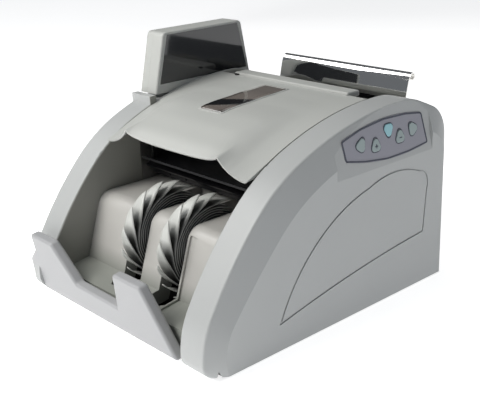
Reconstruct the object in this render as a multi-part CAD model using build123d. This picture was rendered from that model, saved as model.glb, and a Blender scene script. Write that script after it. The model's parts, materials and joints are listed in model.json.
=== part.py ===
from build123d import *
import os
from math import atan, cos, degrees, radians, sin

# Banknote counting machine. +X is the right side seen from the front, +Y the rear, +Z up.
# The origin is on the table, below the middle of the outside box. Lengths are in millimetres.

# Casing
case_width = 260.0
case_depth = 292.0
case_height = 175.0
case_bottom = 2.5
throat_width = 189.0
band_width = 28.0
wall = 3.0
seam = 0.3
soft_radius = 2.0
tray_thickness = 3.0
foot_radius = 9.0
screw_radius = 1.45

# Front fascia
fascia_thickness = 10.0
fascia_height = 59.0
fascia_reach = 8.5
fascia_left = 116.0
shoulder_width = 35.0
post_left = 14.0
post_right = 51.0

# Note pocket and stacker wheels
pocket_floor = 24.0
plate_top = 86.5
slot_width = 24.0
wheel_x = 25.3
wheel_radius = 49.5
wheel_width = 19.0
wheel_height = 57.5
blade_count = 16
blade_sweep = 150.0
blade_thickness = 1.3
hub_radius = 9.0

# Hood
hood_thickness = 2.5
hood_half_width = 94.0
dome_half_width = 56.0

# Hopper plate of bent sheet
plate_width = 164.0
sheet = 1.2
roll_radius = 5.0
plate_overhang = 4.871

# Display head
display_length = 123.0
display_thickness = 25.3
display_top = 222.0
bezel_share = 0.56
trough_floor = 161.0
display_pivot_height = 168.0
pin_radius = 1.5

# Keypad
keypad_height = 34.0
keypad_length = 108.0
facet_drop = 47.0
key_size = 9.3

# Drive
shaft_radius = 3.0
running_fit = 0.05
press_fit = 0.02
plate_thickness = 2.0
motor_shaft_radius = 2.0
bearing_radius = 6.0
bearing_length = 4.0
belt_width = 5.0
belt_thickness = 1.2
belt_gap = 0.3
feed_radius = 22.0
transport_radius = 14.0
pickup_radius = 13.0
motor_radius = 18.0
motor_pulley_radius = 7.0
feed_pulley_radius = 14.0
path_pulley_radius = 9.0
stacker_pulley_radius = 20.0
roller_width = 20.0

# Rear cover
vent_count = 14
vent_pitch = 5.0
vent_width = 2.4
knob_radius = 9.0
screw_head_radius = 2.8

# Places worked out from the sizes above
front = -case_depth / 2 - plate_overhang / 2
rear = case_depth / 2 - plate_overhang / 2
throat = throat_width / 2
side_face = case_width / 2
band_edge = throat + band_width
tray_top = case_bottom + tray_thickness
plate_inner = throat
plate_outer = throat + plate_thickness
wheel_y = front + 84.2
transport_y = front + 148.0
transport_z = case_height - 71.0
feed_y = rear - 84.0
feed_z = case_height - 57.0
pickup_y = rear - 41.0
pickup_z = case_height - 51.0
motor_y = rear - 51.0
motor_z = 40.0
hood_front = front + 73.5
hood_rear = rear - 74.0
hinge_y = rear - 66.0
hinge_z = case_height - 12.0


def arc_chain(start, direction, points):
    """Arcs through the points, each tangent to the one before."""
    arcs = []
    for point in points:
        arc = TangentArc(start, point, tangent=direction)
        arcs.append(arc)
        direction = arc % 1
        start = point
    return arcs


def closed_outline(nose, foot, rest, heel):
    """A side outline: a nose arc at the front, a chain of arcs over the top and straight lines."""
    arcs = [TangentArc(nose, foot, tangent=(0, -1))] + arc_chain(nose, (0, 1), rest)
    lines = [Line(rest[-1], heel), Line(heel, foot)]
    return make_face(arcs + lines)


def outer_outline():
    """The side cover's outline at its light front and top band."""
    points = [
        (front + 9.8, 0.291 * case_height),
        (front + 0.202 * case_depth, 0.663 * case_height),
        (front + 0.363 * case_depth, 0.851 * case_height),
        (rear - 61, case_height),
        (rear - 38, case_height - 4.5),
        (rear - 18, case_height - 13),
        (rear, case_height - 38),
    ]
    return closed_outline((front, 14.5), (front + 8, case_bottom), points, (rear - 3, case_bottom))


def face_outline():
    """The smaller outline of the flat side face, inside the slanted strip."""
    points = [
        (front + 26, 0.24 * case_height),
        (front + 0.262 * case_depth, 0.562 * case_height),
        (front + 0.4 * case_depth, 0.722 * case_height),
        (rear - 61, case_height - 25),
        (rear - 43, case_height - 27.5),
        (rear - 26, case_height - 34),
        (rear - 10, case_height - 53),
    ]
    return closed_outline((front + 17, 16), (front + 19, case_bottom), points, (rear - 10, case_bottom))


def shrink(face, amount):
    return offset(face, -amount, kind=Kind.INTERSECTION) if amount else face


def at_x(x, sketch):
    return Plane.YZ.offset(x) * sketch


def prism_x(sketch, x_low, x_high):
    """A solid along X from a sketch drawn in (Y, Z)."""
    return extrude(at_x(x_low, sketch), x_high - x_low)


def block(x_range, y_range, z_range):
    return Pos(*[(low + high) / 2 for low, high in (x_range, y_range, z_range)]) * Box(
        x_range[1] - x_range[0], y_range[1] - y_range[0], z_range[1] - z_range[0]
    )


def grown(span, amount):
    """A range made longer at both ends."""
    return (span[0] - amount, span[1] + amount)


def rod_x(radius, x_low, x_high, y, z):
    return Pos((x_low + x_high) / 2, y, z) * Rot(0, 90, 0) * Cylinder(radius, x_high - x_low)


def rod_y(radius, x, z, y_low, y_high):
    return Pos(x, (y_low + y_high) / 2, z) * Rot(90, 0, 0) * Cylinder(radius, y_high - y_low)


def rod_z(radius, x, y, z_low, z_high):
    return Pos(x, y, (z_low + z_high) / 2) * Cylinder(radius, z_high - z_low)


def polygon(points):
    return make_face(Polyline(*points, close=True))


outline_edges = outer_outline().edges()


def cover_top(y):
    """Height of the side covers' top band at a distance y from the middle."""
    over = [edge for edge in outline_edges if edge.center().Z == 0 and edge.center().Y > 0.2 * case_height]
    edge = [e for e in over if min((e @ 0).X, (e @ 1).X) <= y <= max((e @ 0).X, (e @ 1).X)][0]
    low, high = ((0.0, 1.0) if (edge @ 1).X > (edge @ 0).X else (1.0, 0.0))
    for _ in range(40):
        middle = (low + high) / 2
        if (edge @ middle).X < y:
            low = middle
        else:
            high = middle
    return (edge @ low).Y


def bent_sheet(points, thickness, radius, x_low, x_high):
    """Sheet bent along a line of (Y, Z) points, its thickness below the line."""
    path = FilletPolyline(*points, radius=radius)
    strip = make_face(offset(path, thickness, side=Side.RIGHT))
    return prism_x(strip, x_low, x_high)


# ---- Side covers -----------------------------------------------------------------------


def cover_body(x_inner, x_band, x_face, inset):
    band = shrink(outer_outline(), inset)
    flat = shrink(face_outline(), inset)
    body = prism_x(band, x_inner, x_band)
    return body + loft([at_x(x_band, band).face(), at_x(x_face, flat).face()], ruled=True)


facet_slope = degrees(atan((side_face - band_edge) / facet_drop))
facet_top = case_height - 1.5
keypad_y = rear - 89.0
keypad_z = case_height - 28.0


def keypad_plane(depth):
    """The slanted facet of the keypad, its X along +Y and its Z outward."""
    drop = facet_top - keypad_z
    x = band_edge + drop * (side_face - band_edge) / facet_drop
    outward = (cos(radians(facet_slope)), 0, sin(radians(facet_slope)))
    facet = Plane((x, keypad_y, keypad_z), (0, 1, 0), outward)
    return facet.offset(-depth)


def keypad_outline(margin):
    half = keypad_length / 2
    high = keypad_height / 2
    top_left = (-half, high - 7.2)
    top_right = (half - 4, high - 2.8)
    low_right = (half + 1, 3.4 - high)
    low_left = (3 - half, 9.3 - high)
    edges = [ThreePointArc(top_left, (-1, high + 1.6), top_right), Line(top_right, low_right)]
    edges += [ThreePointArc(low_right, (0, 0.8 - high), low_left), Line(low_left, top_left)]
    face = make_face(edges)
    return offset(fillet(face.vertices(), 4), margin) if margin else fillet(face.vertices(), 4)


key_places = {
    "add_key": (-31.0, 2.8, (180, 55, -72)),
    "plus_key": (-13.3, -1.4, (90, -35, 215)),
    "mode_key": (4.4, 7.6, (-90, 35, 145)),
    "minus_key": (18.4, -0.4, (90, -35, 215)),
    "set_key": (35.6, 2.8, (0, 122, -112)),
}


def key_outline(name, grow):
    x, y, corners = key_places[name]
    points = [(x + key_size * cos(radians(a)), y + key_size * sin(radians(a))) for a in corners]
    face = polygon(points)
    return offset(fillet(face.vertices(), 3.4), grow)


def facet_cutter(depth):
    """What the slanted keypad facet takes off the side cover."""
    area = Pos(-1, 0, 0) * Rectangle(124, 96)
    return extrude(keypad_plane(depth) * area, 30)


def frame_outline(gap):
    """The opening in the covers' inner wall, which the frame plates fill."""
    low = tray_top + seam + gap
    sill = polygon([(front + 40, 0), (rear - 12, 0), (rear - 12, 40), (front + 40, 40)])
    room = shrink(outer_outline(), 6 + gap) + sill
    steps = [
        (front + 56 + gap, low),
        (front + 56 + gap, 52 - gap),
        (front + 74 + gap, 77 - gap),
        (front + 111 + gap, 77 - gap),
        (front + 111 + gap, case_height + 9),
        (rear - 8 - gap, case_height + 9),
        (rear - 8 - gap, low),
    ]
    return room & polygon(steps)


screw_x = side_face - 8.5
screw_places = [(screw_x, y) for y in (front + 38, front + 151, rear - 26)]


def cover_shell(cavity):
    shell = cover_body(throat, band_edge, side_face, 0)
    for x in (band_edge, throat):
        corner = [e for e in shell.edges() if all(abs(v.X - x) < 0.001 for v in e.vertices())]
        shell = fillet([e for e in corner if e.center().Z > 6], soft_radius)
    shell -= cavity
    shell -= prism_x(frame_outline(0), throat - 1, throat + wall + 1)
    under = block((throat - 1, side_face - wall), (front + wall + 8, rear - wall - 1), (0, tray_top + seam))
    shell -= under
    for x, y in screw_places:
        boss = rod_z(6, x, y, tray_top, 26) & block((throat, side_face - 1), (front, rear), (0, 30))
        shell += boss
        shell -= rod_z(screw_radius + running_fit, x, y, 0, 22)
    return shell


def cover_cavity():
    hollow = cover_body(throat + wall, band_edge - wall, side_face - wall, wall)
    return hollow + block((throat + wall, side_face - wall), (front + wall + 8, rear - wall - 1), (0, 8))


def groove_outline(grow):
    """The D-shaped step pressed into the right side face, in (Y, Z)."""
    foot = (rear - 218, 26)
    crown = (rear - 112, case_height - 63)
    brow = (rear - 46, case_height - 64)
    hip = (rear - 34, case_height - 84)
    low = (rear - 38, 52)
    edges = [
        ThreePointArc(foot, (rear - 178, 80), crown),
        ThreePointArc(crown, (rear - 78, case_height - 57), brow),
        ThreePointArc(brow, (rear - 36, case_height - 70), hip),
        Line(hip, low),
        ThreePointArc(low, (rear - 130, 42), foot),
    ]
    return offset(make_face(edges), grow)


def make_right_cover():
    cover = cover_shell(cover_cavity() - facet_cutter(wall + 1))
    cover -= facet_cutter(0)
    cover -= extrude(keypad_plane(1.0) * keypad_outline(0.2), 10)
    for name in key_places:
        cover -= extrude(keypad_plane(wall + 2) * key_outline(name, 0.4), 10)
    step = prism_x(groove_outline(0.9), side_face - 0.9, side_face + 1)
    step -= prism_x(groove_outline(-0.9), side_face - 2, side_face + 2)
    return cover - step


head_inner = throat + 2.4
head_x = head_inner + 10.5
head_front = front + 135.5
head_rear = head_front + display_length
lug_places = [head_front + 28, head_rear - 34]


def trough(margin):
    """The level seat for the display head in the left cover's top, open to the outside."""
    return block(
        (throat + 1.4 - margin, side_face + 5),
        (head_front - 2 - margin, head_rear + 4 + margin),
        (trough_floor - margin, case_height + 10),
    )


def pedestal():
    """The small step before the display head's front foot."""
    step = (head_front - 9, head_front - 2)
    return block((throat, band_edge + 1), step, (trough_floor - 6, trough_floor + 4))


def make_left_cover():
    cover = cover_shell(cover_cavity() - trough(wall))
    cover += pedestal()
    cover -= trough(0)
    pilot = screw_radius + running_fit
    for lug_y in lug_places:
        cover -= rod_z(pilot, head_x, lug_y + 9, trough_floor - 2 * wall, trough_floor + 1)
    return mirror(cover, about=Plane.YZ) - fascia_notch()


# ---- Display head ----------------------------------------------------------------------


def head_outline():
    """The display head seen from the side, in (Y, Z): a trapezoid with a leaning front."""
    face = polygon([
        (head_front, trough_floor + 4),
        (head_front + 13, display_top),
        (head_rear - 11, display_top),
        (head_rear, trough_floor + 4),
    ])
    return fillet(face.vertices().sort_by(Axis.Y)[-2:], 5)


def window_outline(grow):
    return offset(polygon([
        (head_front + 6.0, trough_floor + 12.7),
        (head_front + 17.4, display_top - 2.4),
        (head_rear - 16, display_top - 2.4),
        (head_rear - 5.5, trough_floor + 12.7),
    ]), grow)


head_split = head_inner + display_thickness * bezel_share


def head_recess():
    """Room in the head's underside for the bracket's lugs as the head tilts."""
    slots = Part()
    for y in lug_places:
        slots += block((head_x - 9, head_x + 12), grown((y, y), 3.2), (trough_floor, trough_floor + 14))
    return slots


def head_shell(x_low, x_high, open_low):
    outer = prism_x(head_outline(), x_low, x_high)
    side = x_high if open_low else x_low
    rim = [e for e in outer.edges() if all(abs(v.X - side) < 0.001 for v in e.vertices())]
    outer = fillet([e for e in rim if e.center().Z > trough_floor + 5], 2)
    hollow = shrink(head_outline(), 2)
    span = (x_low - 1, x_high - 2) if open_low else (x_low + 2, x_high + 1)
    shell = outer - prism_x(hollow, *span)
    return shell - head_recess()


def hinge_rod(radius, length):
    """A rod on the axis that the display head tilts about."""
    middle = (head_front + head_rear) / 2
    return Pos(head_x, middle, display_pivot_height) * Rot(90, 0, 0) * Cylinder(radius, length)


def pin_bore():
    return hinge_rod(pin_radius + running_fit, display_length - 30)


def pin_blocks(x_low, x_high):
    """Bosses inside the head that turn on the hinge pin."""
    bosses = Part()
    for y in lug_places:
        for side in (-1, 1):
            low = y + side * 3.5 if side > 0 else y - 9.5
            bosses += block((x_low, x_high), (low, low + 6), (trough_floor + 4, display_pivot_height + 4))
    return bosses


def make_rear_shell():
    shell = head_shell(head_split + 0.1, head_inner + display_thickness, True)
    return mirror(shell - pin_bore(), about=Plane.YZ)


def make_bezel():
    shell = head_shell(head_inner, head_split, False)
    shell += pin_blocks(head_inner + 1, head_x + 3)
    shell -= pin_bore()
    shell -= prism_x(window_outline(0.15), head_inner - 1, head_inner + 1.3)
    shell -= prism_x(window_outline(-1.5), head_inner - 1, head_inner + 5)
    return mirror(shell, about=Plane.YZ)


def make_display_window():
    return mirror(prism_x(window_outline(0), head_inner + 0.1, head_inner + 1.3), about=Plane.YZ)


def make_display_board():
    board = prism_x(window_outline(-4), head_inner + 4, head_inner + 5.6)
    digits = Part()
    for index in range(6):
        y = head_front + 28 + index * 13.0
        face = (display_top - 30, display_top - 12)
        digit = block((head_inner + 1.7, head_inner + 4), grown((y, y), 5), face)
        digits += digit
    posts = [
        rod_x(2, head_inner + 5.6, head_inner + display_thickness - 2.3, y, display_top - 24)
        for y in (head_front + 26, head_rear - 26)
    ]
    return mirror(board + digits + posts, about=Plane.YZ)


def make_display_bracket():
    foot = (lug_places[0] - 4, lug_places[1] + 14)
    bracket = block(grown((head_x, head_x), 8), foot, (trough_floor, trough_floor + 1.6))
    for y in lug_places:
        post = block((head_x - 4, head_x + 4), (y - 2.8, y + 2.8), (trough_floor, display_pivot_height))
        eye = Pos(head_x, y, display_pivot_height) * Rot(90, 0, 0) * Cylinder(4, 5.6)
        bracket += post + eye
    return mirror(bracket - hinge_rod(pin_radius, display_length), about=Plane.YZ)


# ---- Front fascia and note pocket ------------------------------------------------------

fascia_lean = degrees(atan(fascia_reach / fascia_height))
fascia_foot = front + 4.6


def fascia_plane():
    """The fascia's front face, leaning forward as it rises."""
    tilt = radians(fascia_lean)
    return Plane((0, fascia_foot, 0), (1, 0, 0), (0, -cos(tilt), -sin(tilt)))


def fascia_outline():
    right = throat - seam
    low_gap = pocket_floor + 1.5
    points = [
        (5 - fascia_left, case_bottom),
        (-fascia_left, fascia_height),
        (shoulder_width - fascia_left, fascia_height),
        (shoulder_width - fascia_left + 30, low_gap + 1),
        (post_left - 3, low_gap),
        (post_left, fascia_height),
        (post_right, fascia_height),
        (right - 4, case_bottom + 4),
        (right, case_bottom + 4),
        (right, case_bottom),
    ]
    face = polygon(points)
    corners = face.vertices().sort_by(Axis.Y)[4:]
    return fillet(corners, 3.0)


def fascia_notch():
    """The space that the fascia's left shoulder takes from the left cover."""
    area = offset(fascia_outline(), seam)
    return extrude(fascia_plane() * area, -fascia_thickness - seam) + extrude(fascia_plane() * area, 12)


def make_front_fascia():
    body = extrude(fascia_plane() * fascia_outline(), -fascia_thickness)
    front_face = body.faces().sort_by(Axis.Y)[0]
    body = fillet([e for e in front_face.edges() if e.center().Z > case_bottom + 5], 2.5)
    hollow = offset(fascia_outline(), -2.6)
    inner = fascia_plane().offset(-2.6) * hollow
    core = extrude(inner, 5.2 - fascia_thickness)
    level = block((-case_width, case_width), (front - 30, front + 40), (-20, case_bottom))
    return body - core - level


pocket_front = fascia_foot + fascia_thickness + 0.6
slot_front = wheel_y - wheel_radius - 10
slot_rear = wheel_y + wheel_radius + 3
pocket_rear = slot_rear + 8


def pocket_outline(inset):
    """The pocket's floor, humps and shelf seen from the side, in (Y, Z)."""
    points = [
        (pocket_front + inset, tray_top + seam - (1 if inset else 0)),
        (pocket_front + inset, pocket_floor - inset),
        (wheel_y - 41 + inset * 0.8, pocket_floor + 4 - inset),
        (wheel_y - 22 + inset, plate_top - inset),
        (pocket_rear + inset, plate_top - inset),
        (pocket_rear + inset, tray_top + seam - (1 if inset else 0)),
    ]
    face = polygon(points)
    brow = [v for v in face.vertices() if abs(v.Y - (plate_top - inset)) < 0.01 and v.X < wheel_y]
    return fillet(brow, 15 - inset)


def slot_well(x, grow, deep):
    """The opening round one stacker wheel, with its front corners cut off."""
    half = slot_width / 2 + grow
    y_low = slot_front - grow
    y_high = slot_rear + grow
    area = polygon([
        (x - half, y_low + 6), (x - half + 6, y_low), (x + half - 6, y_low), (x + half, y_low + 6),
        (x + half, y_high), (x - half, y_high),
    ])
    return extrude(Plane.XY.offset(deep) * area, case_height)


def make_note_pocket():
    width = throat - seam
    outer = prism_x(pocket_outline(0), -width, width)
    shell = outer - prism_x(pocket_outline(2.5), -width - 1, width + 1)
    skirt = outer - prism_x(pocket_outline(12), -width - 1, width + 1)
    for x in (-wheel_x, wheel_x):
        shell += skirt & slot_well(x, 2.0, tray_top + 2)
    for x in (-wheel_x, wheel_x):
        shell -= slot_well(x, 0, 0)
    beside = wheel_x + slot_width / 2
    channel = block((beside + 2, beside + 11), (front, wheel_y), (pocket_floor, 80))
    groove = outer - prism_x(pocket_outline(1.6), -width - 1, width + 1)
    return shell - (channel & groove)


# ---- Stacker wheels --------------------------------------------------------------------


def blade_outline():
    """One curved blade, from the hub out to its tip, in (Y, Z) about the shaft."""
    sides = ([], [])
    steps = 8
    for index in range(steps + 1):
        share = index / steps
        angle = radians(90 + blade_sweep * (1 - share))
        middle = hub_radius - 1 + (wheel_radius - hub_radius + 1) * share
        half = blade_thickness / 2 * (1 - 0.55 * share)
        for side, radius in zip(sides, (middle - half, middle + half)):
            side.append((radius * cos(angle), radius * sin(angle)))
    inner, outer = [Spline(*side) for side in sides]
    return make_face([inner, outer, Line(inner @ 0, outer @ 0), Line(inner @ 1, outer @ 1)])


def make_stacker_wheel(x):
    low = x - wheel_width / 2
    blade = prism_x(blade_outline(), low, low + wheel_width)
    hub = rod_x(hub_radius, low, low + wheel_width, 0, 0)
    wheel = hub + [Rot(index * 360 / blade_count, 0, 0) * blade for index in range(blade_count)]
    wheel -= rod_x(shaft_radius + press_fit, low - 1, low + wheel_width + 1, 0, 0)
    return Pos(0, wheel_y, wheel_height) * wheel


# ---- Hood ------------------------------------------------------------------------------

hood_stations = [
    (hood_front, -1.0, 11.0),
    (hood_front + 6, -0.7, 14.8),
    (hood_front + 28, -0.5, 15.6),
    (hood_front + 53, -0.5, 12.4),
    (hood_front + 83, -0.5, 4.4),
    (hood_front + 113, -0.5, 1.0),
    (hood_rear, -0.5, 0.2),
]
dome_shares = [(1.0, 0.0), (0.87, 0.08), (0.76, 0.4), (0.66, 0.82), (0.56, 0.97)]


def hood_section(y, fall, rise, drop, half_width, depth):
    """One cross-section of the hood: wings at the sides, a raised dome in the middle."""
    side = cover_top(y) + fall - drop
    right = [(share * half_width, side + rise * height) for share, height in dome_shares]
    left = [(-x, z) for x, z in right]
    top = Spline(*(right + [(0, side + rise + 0.6)] + left[::-1]))
    low = side - depth - drop
    sides = Polyline(left[0], (-half_width, low), (half_width, low), right[0])
    return Plane.XZ.offset(-y) * make_face([top, sides])


def hood_body(drop, half_width, depth=12):
    sections = []
    for y, fall, rise in hood_stations:
        sections.append(hood_section(y, fall, rise, drop, half_width, depth).face())
    return loft(sections)


def hood_trim():
    """What the hood's wavy front edge leaves open below it."""
    wing = case_height - 41
    dip = case_height - 32.5
    cusp = case_height - 27.5
    half = dome_half_width
    right = [(throat + 2, wing - 1), (throat - 12, wing + 1.2), (half + 13, wing + 6), (half + 6.5, cusp)]
    right_curve = Spline(*right)
    dip_curve = Spline((half + 6.5, cusp), (half + 3.5, dip + 1.6), (half - 4, dip))
    curves = [right_curve, dip_curve]
    curves += [mirror(curve, about=Plane.YZ) for curve in (right_curve, dip_curve)]
    outer = throat + 2
    base = Polyline((-outer, wing - 1), (-outer, wing - 40), (outer, wing - 40), (outer, wing - 1))
    face = make_face(curves + [Line((half - 4, dip), (4 - half, dip)), base])
    return extrude(Plane.XZ.offset(-hood_front - 9) * face, 30)


window_half = 14.5
window_front = front + 121
window_rear = window_front + 80


def window_area(margin):
    return block(
        (-window_half - margin, window_half + margin),
        (window_front - margin, window_rear + margin),
        (case_height - 60, case_height + 30),
    )


def hood_ear(x):
    """One ear under the hood that turns on a hinge pin."""
    profile = polygon([
        (hood_rear - 24, case_height - 4), (hood_rear - 2, case_height - 3), (hinge_y + 3.5, hinge_z + 3.5),
        (hinge_y + 4, hinge_z - 4), (hinge_y - 4, hinge_z - 5), (hood_rear - 24, hinge_z - 3),
    ])
    ear = prism_x(profile, x - 1.5, x + 1.5)
    return ear - rod_x(pin_radius + 0.5 + running_fit, x - 3, x + 3, hinge_y, hinge_z)


ear_x = hood_half_width - 6


def make_top_cover():
    solid = hood_body(0, hood_half_width)
    inner = hood_body(hood_thickness, hood_half_width - hood_thickness)
    shell = solid - inner
    shell -= hood_trim()
    ridge = block((-74, 74), (hood_rear - 1.5, hood_rear + 14), (case_height - 3.2, case_height + 2.0))
    ridge = fillet(ridge.edges().filter_by(Axis.X).sort_by(Axis.Z)[-2:], 1.8)
    shell += ridge
    shell += [hood_ear(x) for x in (-ear_x, ear_x)]
    shell -= window_area(0.15) - Pos(0, 0, -1.6) * solid
    return shell - window_area(-3)


def make_hood_window():
    solid = hood_body(0, hood_half_width)
    return (solid - Pos(0, 0, -1.3) * solid) & window_area(0)


guide_line = [
    (rear - 62, case_height - 40),
    (feed_y, feed_z + feed_radius - 1.5),
    (feed_y - 32, feed_z + feed_radius - 6),
    (transport_y, transport_z + transport_radius - 0.6),
    (front + 116, case_height - 74),
]


def make_upper_guide():
    """The black guide under the hood that presses the notes onto the rollers."""
    line = [
        (feed_y - 6, feed_z + feed_radius + 6),
        (feed_y - 32, feed_z + feed_radius + 1),
        (transport_y, transport_z + transport_radius + 6),
        (front + 112, case_height - 66.5),
        (front + 103, case_height - 62),
    ]
    guide = bent_sheet([(y, z + 2) for y, z in line][::-1], 2.0, 4, -80, 80)
    rib = polygon([
        (feed_y - 8, feed_z + feed_radius + 7), (feed_y - 8, case_height), (front + 112, case_height),
        (front + 112, case_height - 65), (transport_y, transport_z + transport_radius + 7),
        (feed_y - 32, feed_z + feed_radius + 2),
    ])
    under_hood = hood_body(hood_thickness + seam, hood_half_width - hood_thickness, 75)
    for x in (-78, 76):
        guide += prism_x(rib, x, x + 2) & under_hood
    return guide


def make_separation_roller():
    return rod_x(7, -8, 8, feed_y - 6, feed_z + feed_radius + 15.4)


# ---- Keypad ----------------------------------------------------------------------------


def make_keypad_panel():
    panel = extrude(keypad_plane(1.0) * keypad_outline(0), 1.4)
    for name in key_places:
        panel -= extrude(keypad_plane(2.0) * key_outline(name, 0.3), 6)
    return panel


def make_key(name):
    cap = extrude(keypad_plane(2.6) * key_outline(name, 0), 4.0)
    top = cap.faces().sort_by(Axis.X)[-1]
    cap = fillet(top.edges(), 0.6)
    stem = extrude(keypad_plane(5.0) * Pos(*key_places[name][:2]) * Circle(2.0), 2.4)
    return cap + stem


def make_keypad_board():
    board = extrude(keypad_plane(9.4) * Pos(2, 1, 0) * Rectangle(94, 24), 1.6)
    for x, y, _ in key_places.values():
        board += extrude(keypad_plane(7.8) * Pos(x, y, 0) * Rectangle(6, 6), 1.7)
    for x in (-42, 46):
        board += extrude(keypad_plane(7.8) * Pos(x, 1, 0) * Circle(2.2), 3.4)
    return board


# ---- Base ------------------------------------------------------------------------------

tray_front = pocket_front
tray_rear = rear - wall - 4.2
foot_x = side_face - 30
foot_places = [(x, y) for x in (-foot_x, foot_x) for y in (front + 34, rear - 30)]


def make_base_tray():
    half = side_face - wall - seam
    tray = block((-half, half), (tray_front, tray_rear), (case_bottom, tray_top))
    for x, y in foot_places:
        tray -= rod_z(3.1, x, y, 0, 10)
    for x, y in screw_places:
        for side in (-1, 1):
            tray -= rod_z(screw_radius + 0.3, side * x, y, 0, 10)
    return tray


def make_rubber_feet():
    feet = Part()
    for x, y in foot_places:
        feet += rod_z(foot_radius, x, y, 0, case_bottom) + rod_z(3.0, x, y, 0, tray_top - 0.4)
    return feet


def make_tray_screws():
    screws = Part()
    for x, y in screw_places:
        for side in (-1, 1):
            screws += rod_z(screw_head_radius, side * x, y, case_bottom - 1.6, case_bottom)
            screws += rod_z(screw_radius, side * x, y, 1, 18)
    return screws


inlet_x = (46, 74)
inlet_z = (24, 45)
switch_x = (18, 37)
switch_z = (28, 41)
knob_z = 122.0


def make_rear_cover():
    half = throat - seam
    panel = block((-half, half), (rear - wall - 1, rear - 1), (tray_top + seam, case_height - 27))
    for index in range(vent_count):
        x = (index - (vent_count - 1) / 2) * vent_pitch
        panel -= block(grown((x, x), vent_width / 2), (rear - 10, rear + 10), (62, 98))
    panel -= block(inlet_x, (rear - 10, rear + 10), inlet_z)
    panel -= block(switch_x, (rear - 10, rear + 10), switch_z)
    return panel - rod_y(3.2, 0, knob_z, rear - 10, rear + 10)



def make_power_inlet():
    body = block(grown(inlet_x, -0.1), (rear - 24, rear - 1), grown(inlet_z, -0.1))
    flange = block(grown(inlet_x, 2), (rear - 1, rear + 1.5), grown(inlet_z, 2))
    middle = (sum(inlet_x) / 2, sum(inlet_z) / 2)
    socket = block(grown(inlet_x, -2.5), (rear - 17, rear + 3), grown(inlet_z, -3))
    inlet = body + flange - socket
    for offset_x, offset_z in ((-7, -1.5), (7, -1.5), (0, 2.5)):
        x = middle[0] + offset_x
        z = middle[1] + offset_z
        inlet += block((x - 1, x + 1), (rear - 18, rear - 4), (z - 2, z + 2))
    return inlet


def make_switch_frame():
    outer = block(grown(switch_x, -0.1), (rear - 18, rear - 1), grown(switch_z, -0.1))
    flange = block(grown(switch_x, 1.5), (rear - 1, rear + 0.8), grown(switch_z, 1.5))
    room = block(grown(switch_x, -1.6), (rear - 14, rear + 3), grown(switch_z, -1.6))
    return outer + flange - room


def make_switch_rocker():
    middle = (sum(switch_x) / 2, sum(switch_z) / 2)
    profile = polygon([
        (rear - 8.5, middle[1] - 3.0), (rear + 0.6, middle[1] - 3.6), (rear + 2.2, middle[1]),
        (rear + 2.8, middle[1] + 3.6), (rear - 8.5, middle[1] + 3.0),
    ])
    return prism_x(profile, *grown(switch_x, -2.0))


def make_gap_knob():
    """The screw that sets the note gap: a ribbed knob on the rear cover."""
    knob = rod_y(knob_radius, 0, knob_z, rear - 0.6, rear + 3.4)
    knob += rod_y(3.1, 0, knob_z, rear - 14, rear)
    for index in range(12):
        angle = radians(index * 30)
        reach = knob_radius + 0.4
        knob -= rod_y(1.0, reach * cos(angle), knob_z + reach * sin(angle), rear - 2, rear + 5)
    return knob


# ---- Hopper ----------------------------------------------------------------------------

roller_places = (-42.0, 0.0, 42.0)
bed_front = (rear - 57, case_height - 40.5)
bed_rear = (rear - wall - 3.4, case_height - 24.3)


def roller_windows(y, radius, margin):
    """Windows for the three rollers of one shaft."""
    windows = Part()
    for x in roller_places:
        windows += block((x - 12, x + 12), (y - radius - margin, y + radius + margin), (60, case_height + 20))
    return windows


def make_hopper_bed():
    half = throat - seam
    line = [bed_rear, bed_front, (rear - 60, case_height - 50)]
    bed = bent_sheet(line, 2.0, 3.0, -half, half)
    windows = roller_windows(pickup_y, pickup_radius, 1.2)
    return bed - windows


def make_hopper_plate():
    """The bent bright plate that the notes lean on, its top edge rolled back."""
    foot = (rear - wall - 2.7, case_height - 38)
    bend = (rear - wall - 2.7, case_height - 17)
    start = (rear - 2.0, case_height - 1.6)
    crest = (rear + roll_radius - 3.4, case_height + 6.2)
    lip = (rear + roll_radius + 0.6, case_height + 0.4)
    rise = [Line(foot, bend), Line(bend, start)]
    over = TangentArc(start, crest, tangent=rise[1] % 1)
    back = TangentArc(crest, lip, tangent=over % 1)
    path = Curve() + [*rise, over, back]
    strip = make_face(offset(path, sheet, side=Side.RIGHT))
    return prism_x(strip, -plate_width / 2, plate_width / 2)


# ---- Frame -----------------------------------------------------------------------------

shaft_places = {
    "stacker": (wheel_y, wheel_height),
    "transport": (transport_y, transport_z),
    "feed": (feed_y, feed_z),
    "pickup": (pickup_y, pickup_z),
}
motor_place = (motor_y, motor_z)
tie_places = [(front + 160, 30.0), (rear - 20, 70.0), (rear - 14, case_height - 64)]


def make_frame_plate():
    plate = prism_x(frame_outline(0.4), plate_inner, plate_outer)
    foot = (tray_top, tray_top + plate_thickness)
    plate += block((plate_inner - 12, plate_outer), (front + 60, rear - 12), foot)
    for y, z in shaft_places.values():
        plate -= rod_x(bearing_radius, plate_inner - 1, plate_outer + 1, y, z)
    for y, z in tie_places:
        plate -= rod_x(2.0, plate_inner - 1, plate_outer + 1, y, z)
    plate -= rod_x(3.5, plate_inner - 1, plate_outer + 1, motor_y, motor_z)
    return plate - rod_x(2.0, plate_inner - 1, plate_outer + 1, hinge_y, hinge_z)


def make_tie_rods():
    rods = Part()
    for y, z in tie_places:
        rods += rod_x(3.0, -plate_inner, plate_inner, y, z)
        for side in (-1, 1):
            rods += rod_x(1.95, *sorted((side * plate_inner, side * (plate_outer + 2))), y, z)
    return rods


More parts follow.
